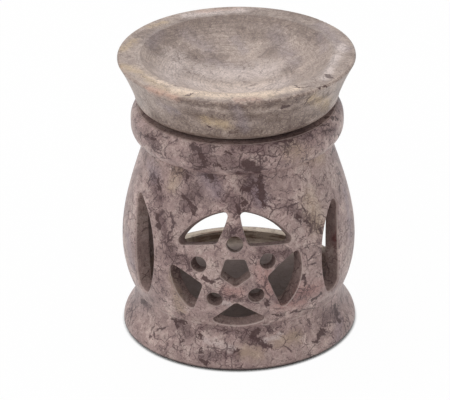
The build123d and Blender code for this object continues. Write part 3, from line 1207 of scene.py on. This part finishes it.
@dataclass
class Studio:
    """The pale floor, the soft light and the camera. Lengths in metres, angles in degrees."""

    floor_side: float = 6.0
    floor_cells: int = 8
    paper: str = "#f2f2f2"  # matt, so that the floor shows nothing but the soft shadow
    backdrop: str = "#ffffff"
    # Distance from the axis over which the shadow round the foot gives way to white.
    shadow_edge: Span = (0.0398, 0.0411)
    white_share: float = 0.97
    world_level: float = 0.5
    elevation: float = 26.35
    turn: float = 1.8
    roll: float = -0.70
    distance: float = 1.1
    pixels_per_mm: float = 2.926
    centre: tuple[float, float] = (238.12, 191.3)  # where the point looked at stands in the picture
    look_at: float = 0.048  # its height on the axis
    picture: tuple[int, int] = (450, 400)
    sensor_mm: float = 36.0
    farthest: float = 10.0

    def build(self) -> None:
        """Builds floor, world, lamps and camera."""
        self._floor()
        self._world()
        for softbox in SOFTBOXES:
            self._lamp(softbox)
        self._camera()
        LOG.info("studio: floor, world, %d softboxes and camera", len(SOFTBOXES))

    def _floor(self) -> None:
        """Makes the pale floor: white in the picture, with the burner's shadow round its foot."""
        mesh = bpy.data.meshes.new("floor")
        form = bmesh.new()
        cells = self.floor_cells
        bmesh.ops.create_grid(form, x_segments=cells, y_segments=cells, size=self.floor_side / 2)
        form.to_mesh(mesh)
        form.free()
        floor = bpy.data.objects.new("floor", mesh)
        bpy.context.scene.collection.objects.link(floor)
        material = bpy.data.materials.new("matt_white_paper")
        material.use_nodes = True
        tree = material.node_tree
        tree.nodes.clear()
        paper = add_node(tree, "ShaderNodeBsdfDiffuse", {"Color": to_linear(self.paper)})
        white = add_node(tree, "ShaderNodeEmission", {"Strength": 1.0})
        place = add_node(tree, "ShaderNodeTexCoord").outputs["Object"]
        off_axis = add_node(tree, VECTOR, {0: place}, operation="LENGTH").outputs["Value"]
        ends = between(self.shadow_edge, (0.0, self.white_share))
        lit = add_node(tree, RANGE, {"Value": off_axis, **ends}, **SMOOTH)
        seen = self._seen_rays(tree)
        share = add_node(tree, MATH, {0: seen, 1: lit}, operation="MULTIPLY")
        mix = add_node(tree, "ShaderNodeMixShader", {0: share, 1: paper, 2: white})
        add_node(tree, "ShaderNodeOutputMaterial", {"Surface": mix})
        mesh.materials.append(material)

    def _seen_rays(self, tree: Tree) -> Source:
        """Masks the rays that show the background: straight, in gloss and through glass.

        Args:
            tree: node tree that gets the nodes.

        Returns:
            1 for those rays, 0 for the rest.
        """
        path = add_node(tree, "ShaderNodeLightPath").outputs
        both = {0: path["Is Camera Ray"], 1: path["Is Glossy Ray"]}
        direct = add_node(tree, MATH, both, operation="MAXIMUM")
        either = {0: direct, 1: path["Is Transmission Ray"]}
        return add_node(tree, MATH, either, operation="MAXIMUM")

    def _world(self) -> None:
        """Sets a plain soft light from all round, and white where the world is seen."""
        world = bpy.data.worlds.new("pale_studio")
        world.use_nodes = True
        tree = world.node_tree
        tree.nodes.clear()
        seen = self._seen_rays(tree)
        levels = {"Value": seen, "To Min": self.world_level, "To Max": 1.0}
        level = add_node(tree, RANGE, levels)
        light = add_node(
            tree, "ShaderNodeBackground", {"Color": to_linear(self.backdrop), "Strength": level}
        )
        add_node(tree, "ShaderNodeOutputWorld", {"Surface": light})
        bpy.context.scene.world = world

    def _lamp(self, softbox: Softbox) -> None:
        """Hangs one softbox that faces the burner.

        Args:
            softbox: its name, place, side and power.
        """
        light = bpy.data.lights.new(softbox.name, "AREA")
        light.shape = "SQUARE"
        light.size = softbox.side
        light.energy = softbox.watts
        lamp = bpy.data.objects.new(softbox.name, light)
        lamp.location = softbox.place
        aim = Vector((0, 0, self.look_at)) - Vector(softbox.place)
        lamp.rotation_euler = aim.to_track_quat("-Z", "Y").to_euler()
        bpy.context.scene.collection.objects.link(lamp)

    def _camera(self) -> None:
        """Sets the camera at the photograph's angle, for a picture of 450 by 400."""
        rise, turn, roll = (math.radians(a) for a in (self.elevation, self.turn, self.roll))
        level = Vector((-math.sin(turn), math.cos(turn), 0)) * math.cos(rise)
        ahead = level - Vector((0, 0, math.sin(rise)))
        right = Vector((math.cos(turn), math.sin(turn), 0))
        up = right.cross(ahead)
        leaned_right = right * math.cos(roll) + up * math.sin(roll)
        leaned_up = up * math.cos(roll) - right * math.sin(roll)
        data = bpy.data.cameras.new("camera")
        camera = bpy.data.objects.new("camera", data)
        bpy.context.scene.collection.objects.link(camera)
        place = Matrix((leaned_right, leaned_up, -ahead)).transposed().to_4x4()
        place.translation = Vector((0, 0, self.look_at)) - ahead * self.distance
        camera.matrix_world = place
        width, height = self.picture
        data.sensor_width = self.sensor_mm
        data.lens = self.pixels_per_mm * self.distance * PER_MM / width * data.sensor_width
        data.shift_x = -(self.centre[0] - width / 2) / width
        data.shift_y = -(height / 2 - self.centre[1]) / width
        data.clip_end = self.farthest
        bpy.context.scene.camera = camera


def main() -> None:
    """Loads the frame, dresses both stones and sets up the studio."""
    logging.basicConfig(level=logging.INFO, format="%(name)s: %(message)s")
    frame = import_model()
    bpy.context.scene.view_settings.view_transform = "Standard"
    Studio().build()
    BurnerBody().dress(frame)
    OilDish().dress(frame)


if __name__ == "__main__":
    main()
